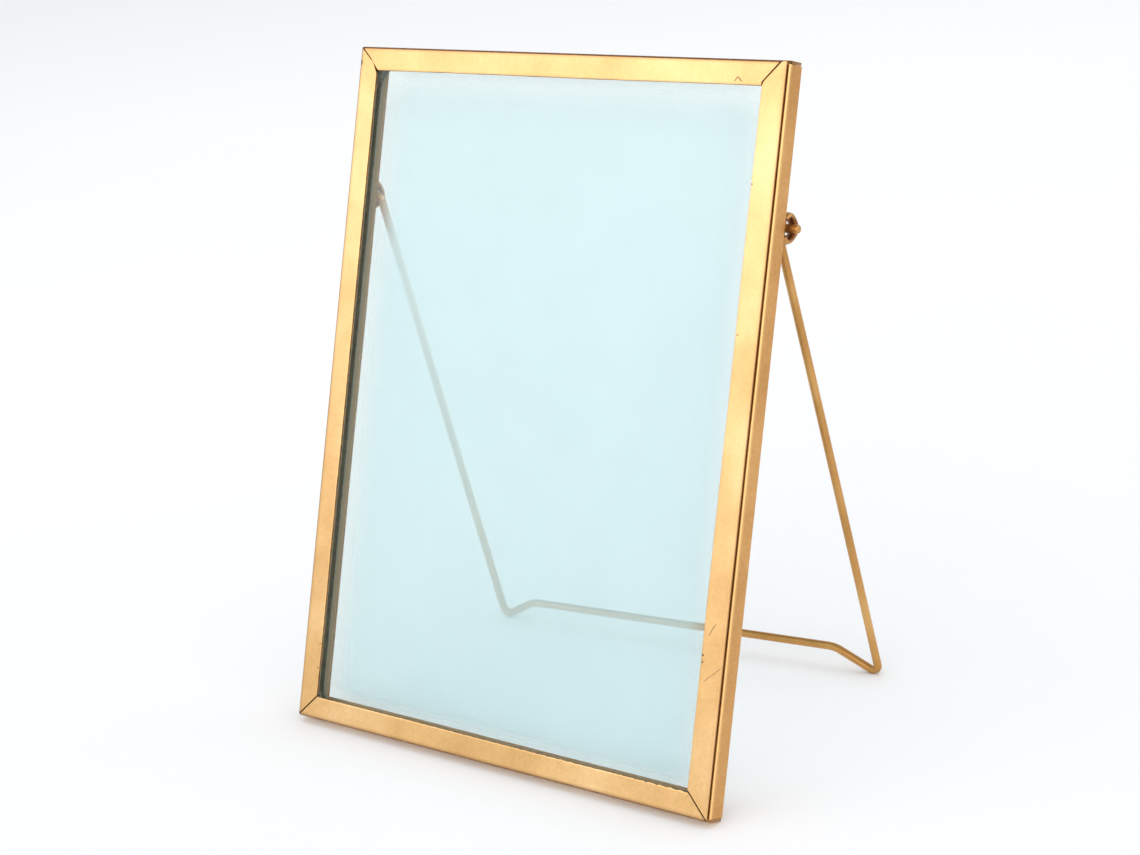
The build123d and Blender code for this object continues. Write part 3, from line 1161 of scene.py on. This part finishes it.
@dataclass
class Easel:
    """Easel of one bent wire: a pin, a leg, a foot and half a cross bar on each side.

    Attributes:
        wire: Diameter.
        pin_run: Pin's end to the middle of the leg's wire, sideways.
        toe_in: Foot nearer the middle than the leg's top.
        foot_run: Foot to the end of the cross bar, sideways.
        foot_rise: Foot to the cross bar, up the leg.
        angle: Legs off upright, in degrees.
        twist: Right leg this much wider and left one this much less, in degrees.
        bow: Height of the legs' slight bow.
    """

    axes: FrameAxes
    finishes: Finishes
    wire: float = 2.4 * MM
    pin_run: float = 7.05 * MM
    toe_in: float = 4.1 * MM
    foot_run: float = 13.8 * MM
    foot_rise: float = 7.5 * MM
    angle: float = 12.0
    twist: float = 2.2
    pin_bend: float = 2.4 * MM
    foot_bend: float = 2.2 * MM
    bar_bend: float = 8.0 * MM
    end_round: float = 0.6 * MM
    bow: float = 0.12 * MM

    def half_route(self, hand: int) -> list[np.ndarray]:
        """Pin's end, pin corner, foot corner and bar's end on one side; hand is 1 on the right.

        The foot's corner lies below the table by what its bend cuts off.
        """
        hinge = np.array(joint("stand_fold")["pos_m"])
        pin_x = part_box("stand_wire")[1].x
        top_x = pin_x - self.pin_run
        foot_x = top_x - self.toe_in
        off = radians(self.angle + hand * self.twist)
        straight = (hinge[2] - self.wire / 2) / cos(off)
        leg_slope = pi / 2 + atan2(self.toe_in, straight)
        riser_slope = atan2(self.foot_rise, self.foot_run)
        half_turn, bisector = (leg_slope - riser_slope) / 2, (leg_slope + riser_slope) / 2
        length = straight + self.foot_bend * (sin(bisector) / sin(half_turn) - 1)
        down = np.array([0.0, sin(off), -cos(off)])
        level = np.array([0.0, hinge[1], hinge[2]])
        sideways = np.array([float(hand), 0.0, 0.0])
        foot = level + sideways * foot_x + down * length
        bar_end = level + sideways * (foot_x - self.foot_run) + down * (length - self.foot_rise)
        return [level + sideways * pin_x, level + sideways * top_x, foot, bar_end]

    def build(self) -> None:
        """Bend the wire along its route, with a slight bow in each straight."""
        route = np.array(self.half_route(1) + self.half_route(-1)[::-1])
        bends = [self.pin_bend, self.foot_bend, self.bar_bend]
        centres, tangents, sides, other = bent_path(route, bends + bends[::-1], 2.5 * MM)
        height = centres[:, 2] / centres[:, 2].max()
        hand = np.sign(centres[:, 0])
        centres[:, 0] += hand * self.bow * np.sin(pi * np.clip(height, 0.04, 1)) * (height < 0.97)
        points, faces = wire_surface(
            centres, tangents, sides, other, self.wire / 2, self.end_round
        )
        make_piece(
            "bent_easel_wire", points, faces, Body.STAND, ("stand_wire",),
            [self.finishes.wire],
        )


@dataclass
class HingeLoop:
    """A loop of wire on the back that the easel's pin turns in, and its solder.

    Attributes:
        hand: left or right.
        wire: Diameter of the loop's wire.
        flat: Its width sideways, as a share of the diameter.
        shift: Its middle, this far to the right of the CAD loop's.
        square: How much the loop's four quarters are drawn out, as a share of its radius.
        pad_height: Height of the solder's crown.
    """

    axes: FrameAxes
    finishes: Finishes
    hand: str
    wire: float = 1.7 * MM
    flat: float = 1.15
    shift: float = 0.0
    square: float = 0.055
    pad_height: float = 0.85 * MM

    def build(self) -> None:
        """Make the loop and the solder round its feet."""
        low, high = self.axes.extent(f"hinge_ring_{self.hand}")
        middle = (low + high) / 2
        outer = (high[1] - low[1]) / 2
        radius = outer - self.wire / 2
        centre = np.array([middle[0] + self.shift, middle[1], low[2] + outer])
        self.loop(centre, radius)
        self.solder()

    def loop(self, centre: np.ndarray, radius: float) -> None:
        """Carry a circle round the pin's axis from the back face to the back face.

        The centre line's radius is r (1 + k (cos 4a - 1)), a slightly squared circle, for the
        angle a from straight behind; it starts and ends inside the solder.
        """
        reach = np.arccos(np.clip((-centre[2] - 0.25 * self.wire) / radius, -1, 1))
        a = np.linspace(-(pi - reach), pi - reach, 61)
        r = radius * (1 + self.square * (np.cos(4 * a) - 1))
        y, z = centre[1] + r * np.sin(a), centre[2] - r * np.cos(a)
        own = np.stack([np.full_like(a, centre[0]), y, z], -1)
        points = self.axes.to_row(own)
        tangents = np.gradient(points, axis=0)
        tangents /= np.linalg.norm(tangents, axis=1)[:, None]
        sides = np.repeat(self.axes.across[None], len(a), 0)
        surface, faces = wire_surface(
            points, tangents, sides * self.flat, np.cross(tangents, sides), self.wire / 2, 0.3 * MM
        )
        # Painted shade on the loop's inner side, facing the pin, carried as edge_tone.
        own = self.axes.from_row(surface) - centre
        depth = np.hypot(own[:, 1], own[:, 2])
        tone = np.clip((radius - depth) / (0.3 * self.wire), 0, 1)
        make_piece(
            f"wire_loop_{self.hand}", surface, faces, Body.TRAY,
            (f"hinge_ring_{self.hand}",), [self.finishes.wire], tone=tone,
        )

    def solder(self) -> None:
        """Dome of solder over the pad's slot, drawn up at the loop's two feet.

        For a share s from the middle to the rim the height is h (1 - s^2)^0.7, times a slow
        ripple with the angle; the rim is a long ellipse that fills the pad.
        """
        low, high = self.axes.extent(f"ring_solder_{self.hand}")
        centre, half = (low + high) / 2, (high - low) / 2
        share = np.linspace(0.02, 1, 16)[:, None]
        turn = np.arange(48)[None, :] * 2 * pi / 48
        swell_out = 1 + 0.035 * np.sin(3 * turn + 0.7) + 0.02 * np.sin(5 * turn)
        x = centre[0] + half[0] * share * np.cos(turn) * np.minimum(swell_out, 1.0)
        y = centre[1] + half[1] * share * np.sin(turn) * np.minimum(swell_out, 1.0)
        feet = 0.72 + 0.28 * np.cos(2 * pi * (share * np.sin(turn)) / 1.25 + pi) ** 2
        height = self.pad_height * (1 - share**2) ** 0.7 * feet * (1 + 0.06 * np.sin(4 * turn))
        own = np.stack([x, y, -height], -1)
        rings, around = own.shape[:2]
        faces = ring_faces(rings, around).tolist()
        faces += end_caps(rings, around)
        make_piece(
            f"solder_blob_{self.hand}", self.axes.to_row(own.reshape(-1, 3)), faces, Body.TRAY,
            (f"ring_solder_{self.hand}",), [self.finishes.solder], sharp=70.0,
        )


# ---------------------------------------------------------------- studio
@dataclass
class Studio:
    """Pale floor, soft light and the camera.

    Attributes:
        camera_place: Where the camera stands.
        azimuth: Direction it looks in, from +Y towards -X, in degrees.
        look_down: Angle below the horizon, in degrees.
        roll: Tilt of the camera about its line of sight, in degrees.
        lens: Focal length in mm on a 36 mm sensor.
        room: Light of the room's walls against the sine of the height.
        room_light: Strength of the brightest part of the room.
        behind: Share of that light in the part of the room behind the frame.
    """

    camera_place: tuple[float, float, float] = (0.43346, -0.50544, 0.31737)
    azimuth: float = 40.497
    look_down: float = 19.176
    roll: float = -7.06
    lens: float = 78.18
    room: tuple[tuple[float, float], ...] = (
        (0.0, 0.18), (0.10, 0.27), (0.22, 0.68), (0.32, 1.0), (0.48, 0.95), (0.66, 0.36),
        (1.0, 0.18),
    )
    room_light: float = 2.5
    behind: float = 0.45

    def build(self) -> None:
        """Set up the camera, the floor and the lights."""
        self.camera()
        self.floor()
        self.lights()

    def camera(self) -> None:
        """Place the camera: turned to its azimuth, tipped down, then rolled."""
        data = bpy.data.cameras.new("camera")
        data.lens, data.sensor_width = self.lens, 36.0
        data.clip_start, data.clip_end = 0.01, 50.0
        camera = add_object("camera", data)
        turn = Matrix.Rotation(radians(self.azimuth), 4, "Z")
        tip = Matrix.Rotation(radians(90 - self.look_down), 4, "X")
        lean = Matrix.Rotation(radians(self.roll), 4, "Z")
        camera.matrix_world = Matrix.Translation(self.camera_place) @ turn @ tip @ lean
        bpy.context.scene.camera = camera

    def floor(self) -> None:
        """Large pale floor with a faint bluish mottle."""
        mesh = bpy.data.meshes.new("floor")
        size = 6.0
        mesh.from_pydata(
            [(-size, -size, 0), (size, -size, 0), (size, size, 0), (-size, size, 0)],
            [], [(0, 1, 2, 3)],
        )
        g = Graph("pale_floor")
        place = g.add("TexCoord").outputs["Object"]
        tone = g.ramp(g.noise(place, 3.0), (0.3, (0.86, 0.875, 0.895)), (0.7, (0.88, 0.89, 0.90)))
        shader = g.add("BsdfPrincipled", {"Base Color": tone, "Roughness": 0.9})
        shader.inputs["Specular IOR Level"].default_value = 0.1
        mesh.materials.append(g.finish(shader))
        add_object("floor", mesh)

    def area(
        self, name: str, place: tuple[float, float, float], aim: tuple[float, float, float],
        size: float, power: float, colour: tuple[float, float, float],
    ) -> None:
        """Hang a square soft light that faces its aim."""
        data = bpy.data.lights.new(name, "AREA")
        data.shape, data.size = "SQUARE", size
        data.energy, data.color = power, colour
        light = add_object(name, data)
        light.location = place
        direction = Vector(aim) - Vector(place)
        light.rotation_mode = "QUATERNION"
        light.rotation_quaternion = direction.to_track_quat("-Z", "Y")
        light.visible_glossy = False

    def lights(self) -> None:
        """Soft light from above, and a room that is palest a third of the way up its walls."""
        self.area("overhead_soft", (-0.15, 0.25, 1.5), (0.0, 0.0, 0.09), 1.6, 7.6, (1.0, 1.0, 1.0))
        world = bpy.data.worlds.new("room")
        world.use_nodes = True
        tree = world.node_tree
        way = tree.nodes.new("ShaderNodeTexCoord")
        split = tree.nodes.new("ShaderNodeSeparateXYZ")
        walls = tree.nodes.new("ShaderNodeValToRGB")
        tree.links.new(way.outputs["Generated"], split.inputs[0])
        tree.links.new(split.outputs[2], walls.inputs["Fac"])
        elements = walls.color_ramp.elements
        while len(elements) < len(self.room):
            elements.new(0.5)
        for element, (height, level) in zip(elements, self.room):
            element.position = height
            element.color = (level, level, level, 1.0)
        ahead = tree.nodes.new("ShaderNodeVectorMath")
        ahead.operation = "DOT_PRODUCT"
        tree.links.new(way.outputs["Generated"], ahead.inputs[0])
        ahead.inputs[1].default_value = (-sin(radians(self.azimuth)), cos(radians(self.azimuth)), 0)
        dim = tree.nodes.new("ShaderNodeMapRange")
        dim.interpolation_type = "SMOOTHSTEP"
        tree.links.new(ahead.outputs["Value"], dim.inputs["Value"])
        steps = (-0.2, 0.6, self.room_light, self.behind * self.room_light)
        for key, value in enumerate(steps, 1):
            dim.inputs[key].default_value = value
        back = tree.nodes["Background"]
        tree.links.new(walls.outputs["Color"], back.inputs["Color"])
        tree.links.new(dim.outputs["Result"], back.inputs["Strength"])
        bpy.context.scene.world = world
        bpy.context.scene.view_settings.view_transform = "Standard"


def main() -> None:
    """Build the studio and the frame's sub-assemblies in order."""
    logging.basicConfig(level=logging.INFO, format="%(name)s: %(message)s")
    axes = FrameAxes.measured()
    finishes = Finishes(axes)
    Studio().build()
    RearTray(axes, finishes).build()
    inner = finishes.inner_glass
    GlassPane("rear_pane", "rear_glass").build(axes, inner, finishes.painted_reflection, finishes.edge)
    GlassPane("front_pane", "front_glass").build(axes, finishes.glass, inner, finishes.edge)
    FrontCover(axes, finishes).build()
    HingeLoop(axes, finishes, "left").build()
    HingeLoop(axes, finishes, "right", flat=1.8, shift=-0.5 * MM).build()
    Easel(axes, finishes).build()


if __name__ == "__main__":
    main()
